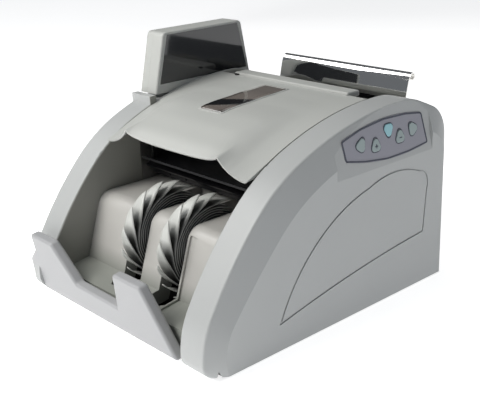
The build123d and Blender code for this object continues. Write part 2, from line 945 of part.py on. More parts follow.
def make_shaft_bearings():
    bearings = Part()
    for y, z in shaft_places.values():
        for side in (-1, 1):
            ends = sorted((side * plate_inner, side * (plate_inner + bearing_length)))
            ring = rod_x(bearing_radius, *ends, y, z)
            lip_ends = sorted((side * plate_outer, side * (plate_outer + 1)))
            ring += rod_x(bearing_radius + 1, *lip_ends, y, z)
            bearings += ring - rod_x(shaft_radius + running_fit, -case_width, case_width, y, z)
    return bearings


def make_hood_hinge_pins():
    pins = Part()
    for side in (-1, 1):
        ends = sorted((side * (ear_x - 3), side * (plate_outer + 0.5)))
        pins += rod_x(2.0, *ends, hinge_y, hinge_z)
    return pins


def make_lower_guide():
    guide = bent_sheet(guide_line[::-1], 2.0, 4.0, seam - plate_inner, plate_inner - seam)
    guide -= roller_windows(feed_y, feed_radius, 1.0)
    return guide - roller_windows(transport_y, transport_radius, 1.0)


def make_exit_sensor_bar():
    y = front + 126
    z = case_height - 76.5
    bar = block((-plate_inner + 0.3, plate_inner - 0.3), (y - 2, y + 5), (z - 7, z))
    for x in (-70, -46, 46, 70):
        bar += block((x - 3, x + 3), (y - 3, y + 3), (z - 5, z + 1.2))
    return bar


# ---- Drive -----------------------------------------------------------------------------


def make_shaft(name, low, high):
    y, z = shaft_places[name]
    return rod_x(shaft_radius, low, high, y, z)


def make_rollers(name, radius):
    """Three rubber-faced rollers on one shaft."""
    y, z = shaft_places[name]
    rollers = Part()
    for x in roller_places:
        rollers += rod_x(radius, x - roller_width / 2, x + roller_width / 2, y, z)
    return rollers - rod_x(shaft_radius + press_fit, -case_width, case_width, y, z)


def pulley(radius, x, y, z, bore):
    """A flanged belt pulley whose belt runs in the middle of it."""
    half = belt_width / 2
    wheel = rod_x(radius, x - half - 0.4, x + half + 0.4, y, z)
    for side in (-1, 1):
        ends = sorted((x + side * (half + 0.4), x + side * (half + 1.4)))
        wheel += rod_x(radius + 2, *ends, y, z)
    return wheel - rod_x(bore, x - 10, x + 10, y, z)


def shaft_pulley(name, radius, x):
    """A pulley fixed on one of the shafts."""
    return pulley(radius, x, *shaft_places[name], shaft_radius + press_fit)


def belt(x, first, second):
    """A toothless flat belt loop around two pulleys, each given as its (Y, Z) place and radius."""
    loops = []
    for grow in (belt_gap + belt_thickness, belt_gap):
        edges = ShapeList()
        for place, radius in (first, second):
            edges += (Pos(*place) * Circle(radius + grow)).edges()
        loops.append(make_hull(edges))
    return prism_x(loops[0] - loops[1], x - belt_width / 2, x + belt_width / 2)


feed_belt_x = -(plate_outer + 7.5)
transport_belt_x = feed_belt_x - 8.5
stacker_belt_x = transport_belt_x - 8.5
pickup_belt_x = plate_outer + 7.5


def make_motor():
    y, z = motor_place
    body = rod_x(motor_radius, -plate_inner + 2, -plate_inner + 62, y, z)
    boss = rod_x(6.0, -plate_inner, -plate_inner + 2, y, z)
    cap = rod_x(7.0, -plate_inner + 62, -plate_inner + 66, y, z)
    bracket = block((-plate_inner, -plate_inner + 2), (y - 24, y + 24), (tray_top + 2.3, z + 20))
    return body + boss + cap + bracket - rod_x(motor_shaft_radius + 0.1, -case_width, -plate_inner + 12, y, z)


def make_motor_pulley():
    y, z = motor_place
    shaft = rod_x(motor_shaft_radius, stacker_belt_x - 5, -plate_inner + 10, y, z)
    for x in (feed_belt_x, stacker_belt_x):
        shaft += pulley(motor_pulley_radius, x, y, z, 1.0)
    return shaft


def make_feed_pulleys():
    wheels = shaft_pulley("feed", feed_pulley_radius, feed_belt_x)
    wheels += shaft_pulley("feed", path_pulley_radius, transport_belt_x)
    return wheels + shaft_pulley("feed", path_pulley_radius, pickup_belt_x)


# ---- Power and electronics -------------------------------------------------------------


def make_main_board():
    """The control board on four posts, with its chips, capacitors and sockets."""
    low = tray_top
    y_low = pocket_rear + 6
    board = block((-80, 70), (y_low, y_low + 58), (low + 8, low + 9.6))
    for x in (-75, 65):
        for y in (y_low + 5, y_low + 53):
            board += rod_z(3, x, y, low, low + 8)
    board += block((-40, -14), (y_low + 18, y_low + 44), (low + 9.6, low + 12))
    board += block((8, 30), (y_low + 8, y_low + 20), (low + 9.6, low + 13))
    for index in range(5):
        board += rod_z(4, 15 + index * 10, y_low + 50, low + 9.6, low + 22)
    for index in range(3):
        board += block((-72, -66), (y_low + 6 + index * 18, y_low + 18 + index * 18), (low + 9.6, low + 18))
    return board


def make_power_transformer():
    low = tray_top
    core = block((20, 78), (rear - 72, rear - 32), (low, low + 40))
    coil = block((30, 68), (rear - 78, rear - 26), (low + 6, low + 34))
    return core + coil


def parts():
    """Every node of the machine by name."""
    motor_end = (motor_place, motor_pulley_radius)
    feed_end = (shaft_places["feed"], path_pulley_radius)
    model = {
        "left_side_cover": make_left_cover(),
        "right_side_cover": make_right_cover(),
        "front_fascia": make_front_fascia(),
        "note_pocket": make_note_pocket(),
        "top_cover": make_top_cover(),
        "hood_window": make_hood_window(),
        "upper_guide": make_upper_guide(),
        "separation_roller": make_separation_roller(),
        "lower_guide": make_lower_guide(),
        "exit_sensor_bar": make_exit_sensor_bar(),
        "hopper_bed": make_hopper_bed(),
        "hopper_plate": make_hopper_plate(),
        "rear_cover": make_rear_cover(),
        "base_tray": make_base_tray(),
        "rubber_feet": make_rubber_feet(),
        "tray_screws": make_tray_screws(),
        "right_frame_plate": make_frame_plate(),
        "left_frame_plate": mirror(make_frame_plate(), about=Plane.YZ),
        "tie_rods": make_tie_rods(),
        "shaft_bearings": make_shaft_bearings(),
        "hood_hinge_pins": make_hood_hinge_pins(),
        "display_bracket": make_display_bracket(),
        "display_hinge_pin": mirror(hinge_rod(pin_radius, display_length - 34), about=Plane.YZ),
        "display_rear_shell": make_rear_shell(),
        "display_bezel": make_bezel(),
        "display_window": make_display_window(),
        "display_board": make_display_board(),
        "keypad_panel": make_keypad_panel(),
        "keypad_board": make_keypad_board(),
        "left_stacker_wheel": make_stacker_wheel(-wheel_x),
        "right_stacker_wheel": make_stacker_wheel(wheel_x),
        "stacker_shaft": make_shaft("stacker", stacker_belt_x - 5, plate_outer + 4),
        "stacker_pulley": shaft_pulley("stacker", stacker_pulley_radius, stacker_belt_x),
        "transport_shaft": make_shaft("transport", transport_belt_x - 5, plate_outer + 4),
        "transport_rollers": make_rollers("transport", transport_radius),
        "transport_pulley": shaft_pulley("transport", path_pulley_radius, transport_belt_x),
        "feed_shaft": make_shaft("feed", transport_belt_x - 5, pickup_belt_x + 5),
        "feed_rollers": make_rollers("feed", feed_radius),
        "feed_pulleys": make_feed_pulleys(),
        "pickup_shaft": make_shaft("pickup", -plate_outer - 4, pickup_belt_x + 5),
        "pickup_rollers": make_rollers("pickup", pickup_radius),
        "pickup_pulley": shaft_pulley("pickup", path_pulley_radius, pickup_belt_x),
        "drive_motor": make_motor(),
        "motor_pulley": make_motor_pulley(),
        "feed_belt": belt(feed_belt_x, motor_end, (shaft_places["feed"], feed_pulley_radius)),
        "transport_belt": belt(transport_belt_x, feed_end, (shaft_places["transport"], path_pulley_radius)),
        "stacker_belt": belt(stacker_belt_x, motor_end, (shaft_places["stacker"], stacker_pulley_radius)),
        "pickup_belt": belt(pickup_belt_x, feed_end, (shaft_places["pickup"], path_pulley_radius)),
        "main_board": make_main_board(),
        "power_transformer": make_power_transformer(),
        "power_inlet": make_power_inlet(),
        "switch_frame": make_switch_frame(),
        "switch_rocker": make_switch_rocker(),
        "gap_knob": make_gap_knob(),
    }
    for name in key_places:
        model[name] = make_key(name)
    return model


os.makedirs("parts", exist_ok=True)
for node, solid in parts().items():
    export_step(solid, os.path.join("parts", node + ".step"))
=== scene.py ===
# %% [markdown]
# # A banknote counting machine
# The machine is a desktop counter: notes lie on the hopper at the back, rubber rollers under the hood feed them
# one by one, and two bladed wheels stack them in the pocket at the front. The frame holds every part of it at
# its real size. This file gives the parts their finish, and models again the ones whose shape is too soft or
# too curved for the frame: the hood, the stacker wheels and the small trims.

# %% Load the frame
import json
import math

import bmesh
import bpy
import numpy as np
from mathutils import Matrix, Vector


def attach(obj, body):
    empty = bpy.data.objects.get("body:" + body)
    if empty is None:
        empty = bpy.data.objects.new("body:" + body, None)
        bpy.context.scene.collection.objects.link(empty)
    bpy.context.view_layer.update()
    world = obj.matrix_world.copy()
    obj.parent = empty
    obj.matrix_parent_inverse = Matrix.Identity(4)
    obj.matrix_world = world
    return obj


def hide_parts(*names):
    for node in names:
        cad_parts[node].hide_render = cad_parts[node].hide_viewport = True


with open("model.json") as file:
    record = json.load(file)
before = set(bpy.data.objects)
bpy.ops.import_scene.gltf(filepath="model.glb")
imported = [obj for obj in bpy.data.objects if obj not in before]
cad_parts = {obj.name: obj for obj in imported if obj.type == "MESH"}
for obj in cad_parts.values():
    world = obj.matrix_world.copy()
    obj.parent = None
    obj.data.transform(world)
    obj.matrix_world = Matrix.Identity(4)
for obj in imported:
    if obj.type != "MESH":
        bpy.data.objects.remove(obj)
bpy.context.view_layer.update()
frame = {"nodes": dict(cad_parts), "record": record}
MM = 0.001

# %% [markdown]
# ## Camera
# The camera stands in front and to the right, a little above the machine, as a buyer would see it on a desk.
# A turn about Z, a tilt and a slight roll are multiplied into one rotation, so each can be changed alone.

# %% Camera
camera_place = Vector((0.5774, -0.5086, 0.3537))
turn, tilt, roll = (math.radians(angle) for angle in (48.46, 19.71, -2.19))
camera_data = bpy.data.cameras.new("camera")
camera_data.lens = 66.68
camera_data.sensor_width = 36.0
camera = bpy.data.objects.new("camera", camera_data)
rotation = Matrix.Rotation(turn, 4, "Z") @ Matrix.Rotation(math.pi / 2 - tilt, 4, "X")
camera.matrix_world = Matrix.Translation(camera_place) @ rotation @ Matrix.Rotation(roll, 4, "Z")
bpy.context.scene.collection.objects.link(camera)
bpy.context.scene.camera = camera
print("camera distance:", round(camera_place.length, 3))

# %% [markdown]
# ## Light and floor
# Office machines are shown in a bright tent: one broad light overhead and in front, a weak one from the side,
# and white all round. The world is bright for the camera and dimmer for the machine, so that its sides still
# fall off into grey. The floor gives off some light of its own, which keeps it white around the machine. A black
# card that the camera does not see stands behind, only to be mirrored in the steel of the hopper plate.

# %% Light and floor
scene = bpy.context.scene
scene.view_settings.view_transform = "Standard"
world = bpy.data.worlds.new("tent")
world.use_nodes = True
scene.world = world
tent = world.node_tree.nodes
tent_links = world.node_tree.links
tent["Background"].inputs["Color"].default_value = (0.86, 0.92, 1.0, 1.0)
tent["Background"].inputs["Strength"].default_value = 0.17
seen = tent.new("ShaderNodeBackground")
seen.inputs["Color"].default_value = (1.0, 1.0, 1.0, 1.0)
path = tent.new("ShaderNodeLightPath")
chooser = tent.new("ShaderNodeMixShader")
tent_links.new(path.outputs["Is Camera Ray"], chooser.inputs["Fac"])
tent_links.new(tent["Background"].outputs["Background"], chooser.inputs[1])
tent_links.new(seen.outputs["Background"], chooser.inputs[2])
tent_links.new(chooser.outputs["Shader"], tent["World Output"].inputs["Surface"])


def soft_light(name, place, target, size, power, colour):
    """A square area light that faces its target."""
    data = bpy.data.lights.new(name, "AREA")
    data.size = size
    data.energy = power
    data.color = colour
    lamp = bpy.data.objects.new(name, data)
    lamp.location = place
    lamp.rotation_euler = (Vector(target) - Vector(place)).to_track_quat("-Z", "Y").to_euler()
    scene.collection.objects.link(lamp)
    return lamp


middle = (0.0, 0.0, 0.08)
soft_light("key", (-0.46, -1.02, 1.12), middle, 0.8, 18.2, (1.0, 0.985, 0.955))
soft_light("top", (-0.1, 0.3, 1.4), middle, 1.0, 3.5, (1.0, 1.0, 0.97))
soft_light("side", (1.5, 0.25, 0.25), middle, 0.7, 0.35, (0.62, 0.76, 1.0))
soft_light("strip", (-0.80, -0.42, 0.92), (0.0, 0.145, 0.18), 0.34, 2.2, (1.0, 1.0, 1.0))


def floor_plane():
    """A broad square that the machine stands on."""
    grid = bmesh.new()
    bmesh.ops.create_grid(grid, x_segments=1, y_segments=1, size=4.0)
    mesh = bpy.data.meshes.new("floor")
    grid.to_mesh(mesh)
    grid.free()
    floor = bpy.data.objects.new("floor", mesh)
    scene.collection.objects.link(floor)
    return floor


def dark_card():
    """A black card high behind the machine. Only mirror surfaces show it, as a dark line along their top."""
    card_mesh = bmesh.new()
    bmesh.ops.create_grid(card_mesh, x_segments=1, y_segments=1, size=0.5)
    for angle, axis in ((math.pi / 2, "X"), (math.radians(41), "Z")):
        bmesh.ops.rotate(card_mesh, cent=(0, 0, 0), matrix=Matrix.Rotation(angle, 3, axis), verts=card_mesh.verts)
    bmesh.ops.translate(card_mesh, vec=(-0.75, 1.00, 0.75), verts=card_mesh.verts)
    mesh = bpy.data.meshes.new("dark_card")
    card_mesh.to_mesh(mesh)
    card_mesh.free()
    card = bpy.data.objects.new("dark_card", mesh)
    card.visible_camera = False
    scene.collection.objects.link(card)
    return card


floor = floor_plane()
card = dark_card()

# %% [markdown]
# ## Shared surface effects
# Injection moulded cases have a fine spark-eroded grain and very slight changes of tone. The grain is a node
# group with a scale and a depth, so each plastic places it with its own values.

# %% Node groups


def new_group(name, sockets_in, sockets_out):
    group = bpy.data.node_groups.new(name, "ShaderNodeTree")
    for label, kind, value in sockets_in:
        socket = group.interface.new_socket(label, in_out="INPUT", socket_type=kind)
        socket.default_value = value
    for label, kind in sockets_out:
        group.interface.new_socket(label, in_out="OUTPUT", socket_type=kind)
    return group, group.nodes.new("NodeGroupInput"), group.nodes.new("NodeGroupOutput")


def math_node(tree, operation, first, second):
    """A Math node fed by sockets or numbers."""
    node = tree.nodes.new("ShaderNodeMath")
    node.operation = operation
    for socket, value in zip(node.inputs, (first, second)):
        if isinstance(value, (int, float)):
            socket.default_value = value
        else:
            tree.links.new(value, socket)
    return node.outputs[0]


def make_grain_group():
    group, entry, leave = new_group(
        "moulded_grain",
        [("Scale", "NodeSocketFloat", 1600.0), ("Depth", "NodeSocketFloat", 1.0)],
        [("Height", "NodeSocketFloat"), ("Mask", "NodeSocketFloat")],
    )
    place = group.nodes.new("ShaderNodeTexCoord")
    fine = group.nodes.new("ShaderNodeTexNoise")
    fine.inputs["Detail"].default_value = 3.0
    group.links.new(place.outputs["Object"], fine.inputs["Vector"])
    group.links.new(entry.outputs["Scale"], fine.inputs["Scale"])
    height = math_node(group, "MULTIPLY", fine.outputs["Fac"], entry.outputs["Depth"])
    group.links.new(height, leave.inputs["Height"])
    group.links.new(fine.outputs["Fac"], leave.inputs["Mask"])
    return group


def make_tone_group():
    """Slow changes of tone over a moulding, between two colours."""
    group, entry, leave = new_group(
        "slow_tone",
        [("Light", "NodeSocketColor", (0.6, 0.6, 0.6, 1.0)),
         ("Dark", "NodeSocketColor", (0.55, 0.55, 0.55, 1.0)),
         ("Scale", "NodeSocketFloat", 14.0)],
        [("Color", "NodeSocketColor"), ("Mask", "NodeSocketFloat")],
    )
    place = group.nodes.new("ShaderNodeTexCoord")
    slow = group.nodes.new("ShaderNodeTexNoise")
    slow.inputs["Detail"].default_value = 4.0
    blend = group.nodes.new("ShaderNodeMix")
    blend.data_type = "RGBA"
    group.links.new(place.outputs["Object"], slow.inputs["Vector"])
    group.links.new(entry.outputs["Scale"], slow.inputs["Scale"])
    group.links.new(slow.outputs["Fac"], blend.inputs["Factor"])
    group.links.new(entry.outputs["Dark"], blend.inputs[6])
    group.links.new(entry.outputs["Light"], blend.inputs[7])
    group.links.new(blend.outputs[2], leave.inputs["Color"])
    group.links.new(slow.outputs["Fac"], leave.inputs["Mask"])
    return group


grain_group = make_grain_group()
tone_group = make_tone_group()
print("node groups:", grain_group.name, tone_group.name)

# %% [markdown]
# ## Finishes
# Every material is one Principled shader. `moulded` covers the plastics and rubbers: tone, grain bump and a
# roughness that follows the grain. Metals get their own builders, because a brushed or mirror surface reads
# from its roughness pattern more than from its colour.

# %% Material builders


def start_material(name):
    material = bpy.data.materials.new(name)
    material.use_nodes = True
    tree = material.node_tree
    return material, tree, tree.nodes["Principled BSDF"]


def place_group(tree, group, **values):
    node = tree.nodes.new("ShaderNodeGroup")
    node.node_tree = group
    for label, value in values.items():
        node.inputs[label].default_value = value
    return node


def rgba(colour):
    return (colour[0], colour[1], colour[2], 1.0)


def ranged(tree, source, low, high):
    """Spreads a 0 to 1 mask over a range."""
    node = tree.nodes.new("ShaderNodeMapRange")
    node.inputs["From Min"].default_value = 0.3
    node.inputs["From Max"].default_value = 0.7
    node.inputs["To Min"].default_value = low
    node.inputs["To Max"].default_value = high
    tree.links.new(source, node.inputs["Value"])
    return node.outputs["Result"]


def moulded(name, colour, roughness, grain=1600.0, depth=0.00002, shift=0.05, specular=0.5, coat=0.0):
    """Plastic or rubber with moulded grain and a slow change of tone."""
    material, tree, shader = start_material(name)
    dark = [channel * (1 - shift) for channel in colour]
    tone = place_group(tree, tone_group, Light=rgba(colour), Dark=rgba(dark), Scale=16.0)
    texture = place_group(tree, grain_group, Scale=grain, Depth=1.0)
    bump = tree.nodes.new("ShaderNodeBump")
    bump.inputs["Strength"].default_value = 0.35
    bump.inputs["Distance"].default_value = depth
    tree.links.new(tone.outputs["Color"], shader.inputs["Base Color"])
    tree.links.new(texture.outputs["Height"], bump.inputs["Height"])
    tree.links.new(bump.outputs["Normal"], shader.inputs["Normal"])
    rough = ranged(tree, texture.outputs["Mask"], roughness - 0.05, roughness + 0.05)
    tree.links.new(rough, shader.inputs["Roughness"])
    shader.inputs["Specular IOR Level"].default_value = specular
    shader.inputs["Coat Weight"].default_value = coat
    shader.inputs["Coat Roughness"].default_value = 0.05
    return material


def metal(name, colour, roughness, streak=(1.0, 60.0, 60.0), spread=0.08):
    """Metal whose roughness runs in streaks along one axis."""
    material, tree, shader = start_material(name)
    place = tree.nodes.new("ShaderNodeTexCoord")
    mapping = tree.nodes.new("ShaderNodeMapping")
    mapping.inputs["Scale"].default_value = streak
    noise = tree.nodes.new("ShaderNodeTexNoise")
    noise.inputs["Scale"].default_value = 60.0
    noise.inputs["Detail"].default_value = 4.0
    tree.links.new(place.outputs["Object"], mapping.inputs["Vector"])
    tree.links.new(mapping.outputs["Vector"], noise.inputs["Vector"])
    rough = ranged(tree, noise.outputs["Fac"], max(roughness - spread, 0.0), roughness + spread)
    tree.links.new(rough, shader.inputs["Roughness"])
    tone = place_group(tree, tone_group, Light=rgba(colour), Dark=rgba([c * 0.93 for c in colour]), Scale=40.0)
    tree.links.new(tone.outputs["Color"], shader.inputs["Base Color"])
    shader.inputs["Metallic"].default_value = 1.0
    return material


print("builders:", moulded.__name__, metal.__name__)

# %% [markdown]
# The casing, the fascia and the pocket are separate mouldings of nearly the same light grey, so each has its own
# plastic. Little light reaches low in the pocket and the covers' inner faces, so shade is painted there as a darker
# tone, set by place along one axis. It is colour only, and no shape stands behind it.

# %% Light plastics
casing = moulded("casing_plastic", (0.475, 0.485, 0.465), 0.42)
fascia_finish = moulded("fascia_plastic", (0.39, 0.394, 0.405), 0.42)
pocket_with_painted_shade = moulded("pocket_plastic_painted_shade", (0.52, 0.51, 0.485), 0.36)
cover_with_painted_shade = moulded("cover_plastic_painted_shade", (0.435, 0.447, 0.446), 0.42)


def paint_shade_where(material, axis, first, last, dark):
    """Paints shade on a plastic: blends it to a darker tone between two places along one axis."""
    tree = material.node_tree
    shader = tree.nodes["Principled BSDF"]
    light_source = shader.inputs["Base Color"].links[0].from_socket
    place = tree.nodes.new("ShaderNodeTexCoord")
    parts = tree.nodes.new("ShaderNodeSeparateXYZ")
    tree.links.new(place.outputs["Object"], parts.inputs["Vector"])
    distance = math_node(tree, "ABSOLUTE", parts.outputs[axis], 0.0)
    spread = tree.nodes.new("ShaderNodeMapRange")
    spread.inputs["From Min"].default_value = first
    spread.inputs["From Max"].default_value = last
    tree.links.new(distance, spread.inputs["Value"])
    blend = tree.nodes.new("ShaderNodeMix")
    blend.data_type = "RGBA"
    blend.inputs[6].default_value = rgba(dark)
    tree.links.new(spread.outputs["Result"], blend.inputs["Factor"])
    tree.links.new(light_source, blend.inputs[7])
    tree.links.new(blend.outputs[2], shader.inputs["Base Color"])


# Painted shade: low in the pocket, below the humps, the floor is darker.
paint_shade_where(pocket_with_painted_shade, "Z", 0.026, 0.044, (0.27, 0.28, 0.255))
# Painted shade: the covers' inner faces, which stand in the shade under the hood, are darker.
paint_shade_where(cover_with_painted_shade, "X", 0.0946, 0.0960, (0.27, 0.27, 0.245))
print("light plastics:", [item.name for item in (casing, fascia_finish, pocket_with_painted_shade, cover_with_painted_shade)])

# %% [markdown]
# Under the tinted pane of a real hood there is a pale sensor bracket with a dark gap beside it. A clear pane over
# a modelled bracket would show them truly. Here they are a slanted pattern of colours painted on the pane itself,
# which is simpler and holds only while the pane is seen from outside.

# %% Tinted windows
black = moulded("black_plastic", (0.012, 0.012, 0.014), 0.35)
wheel_finish = moulded("wheel_plastic", (0.55, 0.56, 0.54), 0.33)
tinted = moulded("tinted_window", (0.012, 0.013, 0.015), 0.08, depth=0.000001, coat=1.0)
hood_tint = moulded("hood_window_tint", (0.05, 0.042, 0.04), 0.07, depth=0.000001, coat=1.0)


def show_through(material):
    """Paints on the pane what would show through it: a pale sensor bracket and a dark gap."""
    tree = material.node_tree
    shader = tree.nodes["Principled BSDF"]
    place = tree.nodes.new("ShaderNodeTexCoord")
    parts = tree.nodes.new("ShaderNodeSeparateXYZ")
    tree.links.new(place.outputs["Object"], parts.inputs["Vector"])
    slanted = math_node(tree, "ADD", parts.outputs["Y"], math_node(tree, "MULTIPLY", parts.outputs["X"], -0.55))
    ramp = tree.nodes.new("ShaderNodeValToRGB")
    spread = tree.nodes.new("ShaderNodeMapRange")
    spread.inputs["From Min"].default_value = -0.035
    spread.inputs["From Max"].default_value = 0.055
    tree.links.new(slanted, spread.inputs["Value"])
    tree.links.new(spread.outputs["Result"], ramp.inputs["Fac"])
    stops = [(0.0, (0.010, 0.009, 0.009)), (0.10, (0.16, 0.135, 0.12)), (0.21, (0.15, 0.125, 0.11)),
             (0.24, (0.008, 0.008, 0.009)), (0.43, (0.012, 0.011, 0.012)), (0.46, (0.22, 0.19, 0.17)),
             (1.0, (0.17, 0.15, 0.135))]
    while len(ramp.color_ramp.elements) < len(stops):
        ramp.color_ramp.elements.new(0.5)
    for element, (position, colour) in zip(ramp.color_ramp.elements, stops):
        element.position = position
        element.color = rgba(colour)
    tree.links.new(ramp.outputs["Color"], shader.inputs["Base Color"])


show_through(hood_tint)
print("windows:", tinted.name, hood_tint.name)

# %% [markdown]
# The rest are the small parts: rubber rollers, the keypad's film and keys, the inner boards, and the metals. The
# frame's record says which slot each node belongs to, and a loop gives every node its slot's material.

# %% The other finishes
rubber = moulded("rubber", (0.02, 0.02, 0.02), 0.75, grain=900.0)
membrane = moulded("keypad_film", (0.30, 0.30, 0.345), 0.45)
key_finish = moulded("key_plastic", (0.33, 0.40, 0.40), 0.4)
mode_finish = moulded("mode_key_plastic", (0.33, 0.60, 0.66), 0.4)
line_finish = moulded("dark_print", (0.055, 0.06, 0.085), 0.5)
laminate = moulded("circuit_board", (0.02, 0.12, 0.05), 0.35)
iron = moulded("transformer_iron", (0.05, 0.05, 0.055), 0.45, grain=300.0)
white_plastic = moulded("pulley_plastic", (0.62, 0.62, 0.60), 0.45)
mirror_sheet = metal("mirror_sheet", (0.86, 0.85, 0.83), 0.04, streak=(1.0, 30.0, 30.0), spread=0.02)
steel = metal("turned_steel", (0.56, 0.56, 0.57), 0.28)
zinc = metal("zinc_sheet", (0.45, 0.45, 0.44), 0.42, streak=(8.0, 8.0, 8.0))

finish_of_slot = {
    "casing": casing, "black_plastic": black, "dark_window": tinted, "wheel_plastic": wheel_finish,
    "chrome": mirror_sheet, "steel": steel, "zinc_plate": zinc, "rubber": rubber, "circuit_board": laminate,
    "membrane": membrane, "key_plastic": key_finish, "mode_key_plastic": mode_finish,
    "transformer_iron": iron, "pulley_plastic": white_plastic,
}


def finish(name, material):
    """Gives a node of the frame its material."""
    slots = frame["nodes"][name].data.materials
    slots.clear()
    slots.append(material)


for entry in frame["record"]["subparts"]:
    finish(entry["node"], finish_of_slot[entry["material_slot"]])
finish("front_fascia", fascia_finish)
finish("note_pocket", pocket_with_painted_shade)
finish("left_side_cover", cover_with_painted_shade)
finish("right_side_cover", cover_with_painted_shade)
finish("hood_window", hood_tint)

floor_finish = moulded("pale_floor", (0.88, 0.88, 0.88), 0.8)
floor_shader = floor_finish.node_tree.nodes["Principled BSDF"]
floor_shader.inputs["Emission Color"].default_value = (1.0, 1.0, 1.0, 1.0)
floor_shader.inputs["Emission Strength"].default_value = 0.76
floor.data.materials.append(floor_finish)
card.data.materials.append(black)

# %% [markdown]
# ## The hood
# The hood is one thin moulding: wings at both sides that follow the covers, and a broad dome that rises in the
# middle and fades out towards the back. It could be lofted from cross-sections, but a flat grid whose vertices
# are lifted to one height function keeps the surface free of waves, and the same function also seats the window.
# The height along the covers' tops is read from the right cover with a ray, so the hood always fits the covers.

# %% Hood heights
hood_front_y = -0.0764
hood_rear_y = 0.0695
hood_half = 0.0939
right_cover = frame["nodes"]["right_side_cover"]
band_samples = np.linspace(-0.085, 0.075, 81)
band_heights = []
for sample_y in band_samples:
    hit, place, normal, index = right_cover.ray_cast((0.108, float(sample_y), 0.3), (0.0, 0.0, -1.0))
    band_heights.append(place.z)
rise_places = np.array([-0.0764, -0.067, -0.047, -0.022, 0.008, 0.038, 0.0695])
rise_heights = np.array([0.0110, 0.0148, 0.0156, 0.0124, 0.0056, 0.0018, 0.0004])
share_places = np.array([0.0, 0.50, 0.60, 0.70, 0.80, 0.90, 1.0])
share_heights = np.array([1.0, 0.985, 0.93, 0.66, 0.28, 0.07, 0.0])
edge_places = np.array([0.0, 0.030, 0.042, 0.050, 0.056, 0.0595, 0.0620, 0.0645, 0.069, 0.075, 0.082, 0.088,
                        0.094])
edge_heights = np.array([0.1440, 0.1442, 0.1447, 0.1455, 0.1466, 0.1478, 0.1500, 0.1470, 0.1428, 0.1392, 0.1364,
                         0.1350, 0.1345])
smooth_reach = 7
skirt_short = 0.0005
skirt_deep = 0.007


def smooth_line(places, heights, count):
    """Many points on a smooth curve through a few, by repeated corner rounding."""
    fine = np.linspace(places[0], places[-1], count)
    values = np.interp(fine, places, heights)
    window = np.hanning(2 * smooth_reach + 1)
    window = window / window.sum()
    padded = np.concatenate([np.full(smooth_reach, values[0]), values, np.full(smooth_reach, values[-1])])
    return fine, np.convolve(padded, window, "valid")


rise_line = smooth_line(rise_places, rise_heights, 120)
share_line = smooth_line(share_places, share_heights, 120)


def hood_height(x, y):
    """The height of the hood's outside at a place."""
    side = np.interp(y, band_samples, band_heights) - 0.0005
    rise = np.interp(y, *rise_line)
    return side + rise * np.interp(abs(x) / hood_half, *share_line)


print("hood height in the middle:", [round(float(hood_height(0, y)), 4) for y in (-0.07, 0.0, 0.06)])

# %% [markdown]
# Every new piece ends the same way: its mesh is written to an object at the origin, shaded, and fixed to its
# body. Mouldings have rounded edges and an even wall, which live modifiers give without changing the drawing.

# %% Finishing a bmesh as a piece
def piece_from(mesh_data, name, material, body, replaced=(), slot=None, smooth=True):
    """Writes a bmesh to an object at the origin and fixes it to its body."""
    bmesh.ops.recalc_face_normals(mesh_data, faces=mesh_data.faces)
    mesh = bpy.data.meshes.new(name)
    mesh_data.to_mesh(mesh)
    mesh_data.free()
    for polygon in mesh.polygons:
        polygon.use_smooth = smooth
    piece = bpy.data.objects.new(name, mesh)
    piece.data.materials.append(material)
    scene.collection.objects.link(piece)
    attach(piece, body)
    if replaced:
        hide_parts(*replaced)
    return piece


def add_bevel(piece, width, segments=3, angle=40):
    """Rounds a piece's sharp edges with a live Bevel."""
    bevel = piece.modifiers.new("rounded edges", "BEVEL")
    bevel.width = width
    bevel.segments = segments
    bevel.limit_method = "ANGLE"
    bevel.angle_limit = math.radians(angle)
    bevel.harden_normals = False
    return bevel


def add_wall(piece, thickness, side):
    """Gives an open surface its wall; side -1 is inwards, 0 both ways."""
    wall = piece.modifiers.new("wall", "SOLIDIFY")
    wall.thickness = thickness
    wall.offset = side
    wall.use_even_offset = True
    return wall


print("a piece is finished by:", piece_from.__name__, add_bevel.__name__, add_wall.__name__)

# %% [markdown]
# The hood itself is a grid lifted to the height function. Its front edge has its own line, with two small peaks
# where the dome meets the wings. A short skirt is pulled down at the sides, and then the sheet gets its wall.

# %% The hood's shell
def make_hood():
    """The hood's dome, wings and side skirts as one sheet."""
    shell = bmesh.new()
    bmesh.ops.create_grid(shell, x_segments=150, y_segments=70, size=1.0)
    for vertex in shell.verts:
        x = vertex.co.x * hood_half
        along = (vertex.co.y + 1) / 2
        edge = float(np.interp(abs(x), edge_places, edge_heights))
        start = hood_front_y + 0.0028 * (vertex.co.x ** 2)
        y = start + (hood_rear_y - start) * along
        lift = (edge - hood_height(x, start)) * max(0.0, 1 - along * 5) ** 2
        vertex.co = (x, y, hood_height(x, y) + lift)
    sides = [edge for edge in shell.edges if edge.is_boundary
             and all(abs(abs(v.co.x) - hood_half) < 1e-6 for v in edge.verts)]
    skirt = bmesh.ops.extrude_edge_only(shell, edges=sides)
    moved = [item for item in skirt["geom"] if isinstance(item, bmesh.types.BMVert)]
    for vertex in moved:
        behind = (vertex.co.y - hood_front_y - 0.004) / 0.02
        vertex.co.z -= skirt_short + skirt_deep * min(1.0, max(0.0, behind))
    hood = piece_from(shell, "hood_shell", casing, "hood", ["top_cover"], "casing")
    add_wall(hood, 0.0016, -1)
    add_bevel(hood, 0.0005, 2, 50)
    return hood


hood = make_hood()
print("hood faces:", len(hood.data.polygons))

# %% [markdown]
# The ridge at the hood's back is a low bar that the notes slide over. It is a box whose top edges are bevelled,
# with a small dark notch near its left end, where the hood's catch can be seen.

# %% The hood's ridge


def box_mesh(low, high):
    """A bmesh box between two corners."""
    body = bmesh.new()
    bmesh.ops.create_cube(body, size=1.0)
    bmesh.ops.scale(body, vec=[b - a for a, b in zip(low, high)], verts=body.verts)
    bmesh.ops.translate(body, vec=[(a + b) / 2 for a, b in zip(low, high)], verts=body.verts)
    return body


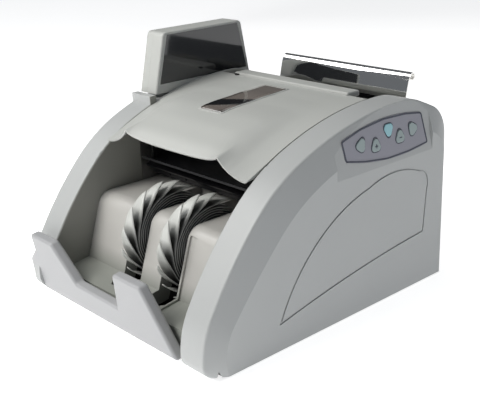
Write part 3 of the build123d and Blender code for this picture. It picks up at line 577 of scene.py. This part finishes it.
ridge = piece_from(box_mesh((-0.074, 0.0672, 0.1712), (0.074, 0.0836, 0.1770)), "hood_ridge", casing, "hood",
                   slot="casing", smooth=False)
add_bevel(ridge, 0.0018, 3)
catch = piece_from(box_mesh((-0.0715, 0.0655, 0.1735), (-0.0665, 0.0700, 0.1760)), "hood_catch", black, "hood",
                   slot="black_plastic", smooth=False)
add_bevel(catch, 0.0004, 2)
print("ridge and catch:", ridge.name, catch.name)

# %% [markdown]
# The window in the dome is a tinted pane in a thin raised rim. Both are rounded rectangles: a square whose
# corners are bevelled, subdivided and laid on the same height function as the dome, so they follow its curve.

# %% The hood's window
patch_rows = 24
patch_columns = 8


def rounded_patch(half_x, y_low, y_high, corner, lift):
    """A rounded rectangle laid on the hood."""
    patch = bmesh.new()
    bmesh.ops.create_grid(patch, x_segments=1, y_segments=1, size=1.0)
    for vertex in patch.verts:
        vertex.co = (vertex.co.x * half_x, y_low + (vertex.co.y + 1) / 2 * (y_high - y_low), 0)
    bmesh.ops.bevel(patch, geom=patch.verts[:], offset=corner, segments=6, profile=0.5, affect="VERTICES",
                    material=-1)
    for step in range(1, patch_rows):
        cut_y = y_low + (y_high - y_low) * step / patch_rows
        geometry = patch.verts[:] + patch.edges[:] + patch.faces[:]
        bmesh.ops.bisect_plane(patch, geom=geometry, plane_co=(0, cut_y, 0), plane_no=(0, 1, 0))
    for step in range(1, patch_columns):
        cut_x = -half_x + 2 * half_x * step / patch_columns
        geometry = patch.verts[:] + patch.edges[:] + patch.faces[:]
        bmesh.ops.bisect_plane(patch, geom=geometry, plane_co=(cut_x, 0, 0), plane_no=(1, 0, 0))
    for vertex in patch.verts:
        vertex.co.z = hood_height(vertex.co.x, vertex.co.y) + lift
    return patch


rim = piece_from(rounded_patch(0.0165, -0.0295, 0.0546, 0.004, 0.0005), "window_rim", casing, "hood",
                 slot="casing")
add_wall(rim, 0.0012, -1)
add_bevel(rim, 0.0003, 2, 50)
pane = piece_from(rounded_patch(0.0146, -0.0274, 0.0526, 0.003, 0.0007), "window_pane", hood_tint, "hood",
                  ["hood_window"], "dark_window")
add_wall(pane, 0.001, -1)
print("window pane faces:", len(pane.data.polygons))

# %% [markdown]
# ## The stacker wheels
# Each wheel carries sixteen flexible blades that catch the notes. A blade leaves the hub, hugs its neighbours in
# a tight spiral and ends in a pointed leaf that stands off the wheel. One blade is a narrow grid that is rolled
# up along the spiral and narrowed towards its tip; fifteen turned duplicates complete the wheel.

# %% The blades' finish
stack_y = -0.06424
stack_z = 0.0575


def blade_plastic():
    """Light grey at the leaf tips; painted shade darkens the blades towards the shaft, less on their side edges."""
    material, tree, shader = start_material("stacker_blade_plastic")
    place = tree.nodes.new("ShaderNodeTexCoord")
    centred = tree.nodes.new("ShaderNodeMapping")
    centred.inputs["Location"].default_value = (0.0, -stack_y, -stack_z)
    tree.links.new(place.outputs["Object"], centred.inputs["Vector"])
    parts = tree.nodes.new("ShaderNodeSeparateXYZ")
    tree.links.new(centred.outputs["Vector"], parts.inputs["Vector"])
    square = math_node(tree, "ADD", math_node(tree, "MULTIPLY", parts.outputs["Y"], parts.outputs["Y"]),
                       math_node(tree, "MULTIPLY", parts.outputs["Z"], parts.outputs["Z"]))
    reach = math_node(tree, "SQRT", square, 0.0)
    # Painted shade: within 40 mm of the shaft the blades take a dark tone, past 44 mm their own light grey.
    spread = tree.nodes.new("ShaderNodeMapRange")
    spread.inputs["From Min"].default_value = 0.0400
    spread.inputs["From Max"].default_value = 0.0440
    tree.links.new(reach, spread.inputs["Value"])
    blend = tree.nodes.new("ShaderNodeMix")
    blend.data_type = "RGBA"
    # Within the painted shade, blade faces are nearly black and the edges facing sideways a lighter grey.
    facing = tree.nodes.new("ShaderNodeNewGeometry")
    facing_parts = tree.nodes.new("ShaderNodeSeparateXYZ")
    tree.links.new(facing.outputs["Normal"], facing_parts.inputs["Vector"])
    edge_mask = math_node(tree, "ABSOLUTE", facing_parts.outputs["X"], 0.0)
    painted_shade_by_facing = tree.nodes.new("ShaderNodeMix")
    painted_shade_by_facing.data_type = "RGBA"
    painted_shade_by_facing.inputs[6].default_value = (0.030, 0.031, 0.030, 1.0)
    painted_shade_by_facing.inputs[7].default_value = (0.42, 0.43, 0.42, 1.0)
    tree.links.new(math_node(tree, "POWER", edge_mask, 4.0), painted_shade_by_facing.inputs["Factor"])
    tree.links.new(painted_shade_by_facing.outputs[2], blend.inputs[6])
    blend.inputs[7].default_value = (0.56, 0.57, 0.545, 1.0)
    tree.links.new(spread.outputs["Result"], blend.inputs["Factor"])
    tree.links.new(blend.outputs[2], shader.inputs["Base Color"])
    texture = place_group(tree, grain_group, Scale=1400.0, Depth=1.0)
    bump = tree.nodes.new("ShaderNodeBump")
    bump.inputs["Strength"].default_value = 0.3
    bump.inputs["Distance"].default_value = 0.00002
    tree.links.new(texture.outputs["Height"], bump.inputs["Height"])
    tree.links.new(bump.outputs["Normal"], shader.inputs["Normal"])
    tree.links.new(ranged(tree, texture.outputs["Mask"], 0.28, 0.4), shader.inputs["Roughness"])
    return material


blade_finish = blade_plastic()
print("blade finish:", blade_finish.name)

# %% [markdown]
# A blade's line is given at a few shares of its length, as its distance from the shaft and its width. The hub is
# a short drum that holds the blades' roots. The number of blades can be changed without redrawing any of them.

# %% The wheels
blade_count = 16
blade_steps = np.array([0.0, 0.10, 0.20, 0.40, 0.60, 0.80, 0.86, 0.90, 0.94, 0.97, 1.0])
blade_radius = np.array([0.010, 0.020, 0.0240, 0.0290, 0.0340, 0.0385, 0.0400, 0.0422, 0.0452, 0.0474, 0.0492])
blade_width = np.array([0.0190, 0.0190, 0.0190, 0.0190, 0.0190, 0.0190, 0.0182, 0.0158, 0.0114, 0.0068, 0.0006])
blade_turn = math.radians(236.0)


def make_wheel(name, middle_x, node):
    """All blades of one wheel, in place of the frame's own wheel."""
    wheel = bmesh.new()
    bmesh.ops.create_grid(wheel, x_segments=4, y_segments=60, size=1.0)
    for vertex in wheel.verts:
        share = (vertex.co.y + 1) / 2
        radius = float(np.interp(share, blade_steps, blade_radius))
        half = float(np.interp(share, blade_steps, blade_width)) / 2
        angle = math.radians(90) + blade_turn * (1 - share)
        vertex.co = (middle_x + vertex.co.x * half, stack_y + radius * math.cos(angle),
                     stack_z + radius * math.sin(angle))
    first = wheel.verts[:] + wheel.edges[:] + wheel.faces[:]
    for number in range(1, blade_count):
        copy = bmesh.ops.duplicate(wheel, geom=first)
        moved = [item for item in copy["geom"] if isinstance(item, bmesh.types.BMVert)]
        turn_matrix = Matrix.Rotation(math.radians(360 / blade_count * number), 3, "X")
        bmesh.ops.rotate(wheel, cent=(middle_x, stack_y, stack_z), matrix=turn_matrix, verts=moved)
    piece = piece_from(wheel, name, blade_finish, "stacker", [node], "wheel_plastic")
    add_wall(piece, 0.0008, 0)
    return piece


def make_hub(name, middle_x):
    """The drum that a wheel's blades grow from."""
    hub = bmesh.new()
    bmesh.ops.create_cone(hub, cap_ends=True, segments=48, radius1=0.0115, radius2=0.0115, depth=0.019)
    bmesh.ops.rotate(hub, cent=(0, 0, 0), matrix=Matrix.Rotation(math.pi / 2, 3, "Y"), verts=hub.verts)
    bmesh.ops.translate(hub, vec=(middle_x, stack_y, stack_z), verts=hub.verts)
    piece = piece_from(hub, name, blade_finish, "stacker", slot="wheel_plastic", smooth=False)
    add_bevel(piece, 0.0006, 2)
    return piece


for name, middle_x, node in (("left_wheel_blades", -0.0253, "left_stacker_wheel"),
                             ("right_wheel_blades", 0.0253, "right_stacker_wheel")):
    blades = make_wheel(name, middle_x, node)
    make_hub(name.replace("blades", "hub"), middle_x)
    print(name, "faces:", len(blades.data.polygons))

# %% [markdown]
# ## The front fascia
# The fascia is a hollow moulding that leans forward: a wide shoulder on the left, a low lip for taking out the
# notes and a post before the wheels. Its outline is drawn flat, extruded, and all its edges are rounded, which
# is what gives a moulding its soft highlights. Then it is leaned about its foot.

# %% The fascia's outline
fascia_lean = math.atan(8.5 / 59)
fascia_foot_y = -0.14384
fascia_points = [
    (-128.0, 14.0), (-127.5, 30.0), (-114.5, 43.0), (-116.0, 58.5), (-81.0, 58.5), (-51.0, 26.5), (11.0, 25.5),
    (14.0, 58.5), (51.0, 58.5), (85.0, 2.6), (-110.0, 2.6), (-121.0, 6.0),
]


def make_fascia():
    """The fascia's outline, pulled to its thickness and leaned about its foot."""
    body = bmesh.new()
    corners = [body.verts.new((x * MM, 0, h * MM)) for x, h in fascia_points]
    front_face = body.faces.new(corners)
    pulled = bmesh.ops.extrude_face_region(body, geom=[front_face], use_keep_orig=True)
    moved = [item for item in pulled["geom"] if isinstance(item, bmesh.types.BMVert)]
    bmesh.ops.translate(body, vec=(0, 0.010, 0), verts=moved)
    bmesh.ops.rotate(body, cent=(0, 0, 0), matrix=Matrix.Rotation(fascia_lean, 3, "X"), verts=body.verts)
    bmesh.ops.translate(body, vec=(0, fascia_foot_y, 0), verts=body.verts)
    piece = piece_from(body, "fascia_moulding", fascia_finish, "chassis", ["front_fascia"], "casing", smooth=False)
    bevel = add_bevel(piece, 0.0026, 4, 15)
    bevel.use_clamp_overlap = False
    return piece


fascia = make_fascia()
print("fascia corners:", len(fascia.data.vertices))

# %% [markdown]
# ## The keypad
# The film on the keypad has a dark printed border just inside its edge, and each key a dark outline. The border
# is a thin strip that stands a tenth of a millimetre proud. The plus and minus keys carry plain marks.

# %% Keypad strips
facet_tilt = math.atan(7.5 / 47.0)
facet_origin = Vector((0.1225 + 26.5 * 7.5 / 47.0 * MM, 0.05456, 0.147))
facet_out = Vector((math.cos(facet_tilt), 0, math.sin(facet_tilt)))
facet_along = Vector((0, 1, 0))
facet_up = facet_out.cross(facet_along)
facet_matrix = Matrix((facet_along, facet_up, facet_out)).transposed().to_4x4()
facet_matrix.translation = facet_origin
print("facet up:", [round(v, 3) for v in facet_up])


def flat_outline(points, rounding, segments=5):
    """A flat face with rounded corners, drawn on the keypad's facet."""
    sheet = bmesh.new()
    sheet.faces.new([sheet.verts.new((x * MM, y * MM, 0)) for x, y in points])
    bmesh.ops.bevel(sheet, geom=sheet.verts[:], offset=rounding * MM, segments=segments, profile=0.5,
                    affect="VERTICES", material=-1)
    return sheet


def ring_on_facet(name, points, rounding, width, height, material, body, slot):
    """A closed line of even width inside an outline."""
    ring = flat_outline(points, rounding)
    inner = bmesh.ops.inset_region(ring, faces=ring.faces[:], thickness=width * MM, use_even_offset=True,
                                    use_boundary=True)
    keep = set(inner["faces"])
    bmesh.ops.delete(ring, geom=[face for face in ring.faces if face not in keep], context="FACES")
    bmesh.ops.translate(ring, vec=(0, 0, height * MM), verts=ring.verts)
    bmesh.ops.transform(ring, matrix=facet_matrix, verts=ring.verts)
    piece = piece_from(ring, name, material, body, slot=slot, smooth=False)
    add_wall(piece, 0.00025, 0)
    return piece


film_outline = [(-54.0, 9.8), (-30.0, 15.5), (-1.0, 18.4), (28.0, 17.4), (50.0, 14.2), (55.0, -13.6), (28.0, -16.0),
                (0.0, -16.2), (-28.0, -12.6), (-51.0, -7.7)]
ring_on_facet("keypad_border", film_outline, 2.2, 1.3, 0.52, line_finish, "chassis", "membrane")
key_corner_reach = 9.3
outline_margin = 1.6
key_centres = {"add_key": (-31.0, 2.8, (180, 55, -72)), "plus_key": (-13.3, -1.4, (90, -35, 215)),
               "mode_key": (4.4, 7.6, (-90, 35, 145)), "minus_key": (18.4, -0.4, (90, -35, 215)),
               "set_key": (35.6, 2.8, (0, 122, -112))}
for key_name, (key_x, key_y, key_angles) in key_centres.items():
    spread = key_corner_reach + outline_margin
    outline = [(key_x + spread * math.cos(math.radians(a)), key_y + spread * math.sin(math.radians(a)))
               for a in key_angles]
    ring_on_facet(key_name + "_outline", outline, 7.6, 0.75, 0.5, line_finish, "chassis", "membrane")
print("keys outlined:", list(key_centres))

# %% [markdown]
# Two of the keys carry a plain mark each. A mark is one or two thin bars that lie on the key's top and ride with
# it. Print would be flat, and bars a fraction of a millimetre high look the same and stay sharp.


# %% Plus and minus marks
def bar_on_facet(name, middle, size, height, body):
    """A thin bar on a key's top."""
    bar = bmesh.new()
    bmesh.ops.create_grid(bar, x_segments=1, y_segments=1, size=0.5)
    bmesh.ops.scale(bar, vec=(size[0] * MM, size[1] * MM, 1), verts=bar.verts)
    bmesh.ops.translate(bar, vec=(middle[0] * MM, middle[1] * MM, height * MM), verts=bar.verts)
    bmesh.ops.transform(bar, matrix=facet_matrix, verts=bar.verts)
    piece = piece_from(bar, name, line_finish, body, slot="membrane", smooth=False)
    add_wall(piece, 0.0002, 0)
    return piece


bar_on_facet("plus_mark_level", (-13.3, -2.4), (3.4, 0.9), 1.45, "plus_key_body")
bar_on_facet("plus_mark_upright", (-13.3, -2.4), (0.9, 3.4), 1.47, "plus_key_body")
bar_on_facet("minus_mark", (18.4, -1.6), (3.4, 0.9), 1.45, "minus_key_body")
